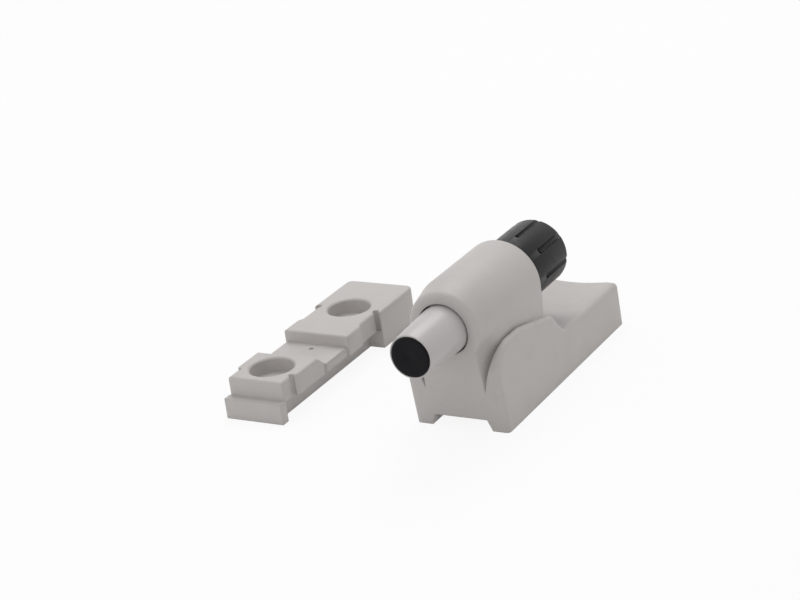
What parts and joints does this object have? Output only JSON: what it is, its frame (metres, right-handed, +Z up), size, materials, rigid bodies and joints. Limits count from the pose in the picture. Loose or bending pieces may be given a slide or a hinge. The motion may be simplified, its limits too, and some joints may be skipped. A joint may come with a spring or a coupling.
{
  "type": "soft close damper",
  "caption": "Clip-on soft close damper for a cabinet door: sprung nose with rubber pad, turning damping knob, and its screw-down base plate taken off beside it.",
  "frame": {"origin": "middle of the underside of the whole set, on the surface that it stands on", "axes": "+Y along the damper from its rubber nose to its knob, +X from the base plate to the damper, +Z up"},
  "size_m": [0.0634, 0.0722, 0.0314],
  "materials": {
    "housing_grey": "satin moulded, fine spark texture",
    "plate_grey": "satin moulded",
    "sleeve_grey": "smooth, low gloss",
    "bumper_rubber": "matte",
    "knob_black": "satin moulded",
    "white_acetal": "machined",
    "black_acetal": "moulded",
    "gland_nylon": "moulded",
    "steel_tube": "drawn",
    "steel_rod": "ground and polished",
    "spring_steel": "drawn wire and strip",
    "brass_guide": "turned",
    "seal_rubber": "smooth",
    "foam": "closed-cell foam"
  },
  "bodies": {
    "body": {"housing": "housing_grey", "base_plate": "plate_grey", "nose_guide_ring": "white_acetal", "damper_cylinder": "steel_tube", "guide_snap_ring": "spring_steel", "rod_guide": "brass_guide", "rod_seal": "seal_rubber", "accumulator_foam": "foam", "foam_washer": "spring_steel", "end_plug": "brass_guide", "end_plug_seal": "seal_rubber", "return_spring": "spring_steel", "spring_seat": "white_acetal", "rear_gland": "gland_nylon", "knob_friction_ring": "seal_rubber", "retaining_clip": "spring_steel"},
    "plunger": {"nose_sleeve": "sleeve_grey", "rubber_bumper": "bumper_rubber", "piston_rod": "steel_rod", "piston": "white_acetal", "piston_ring": "black_acetal", "check_valve_disc": "spring_steel", "piston_retainer": "brass_guide"},
    "knob": {"adjuster_knob": "knob_black", "knob_end_cap": "knob_black", "metering_spindle": "brass_guide", "spindle_seal": "seal_rubber"}
  },
  "joints": [
    {"name": "plunger_slide", "type": "slide", "parent": "body", "child": "plunger", "axis": [0, 1, 0], "range_m": [0, 0.01], "stiffness_N_per_m": 80, "springref_m": -0.01, "deforming": ["return_spring"]},
    {"name": "knob_turn", "type": "hinge", "parent": "body", "child": "knob", "pos_m": [0.0212, 0.0123, 0.0226], "axis": [0, 1, 0], "range_deg": [-135, 135]}
  ]
}
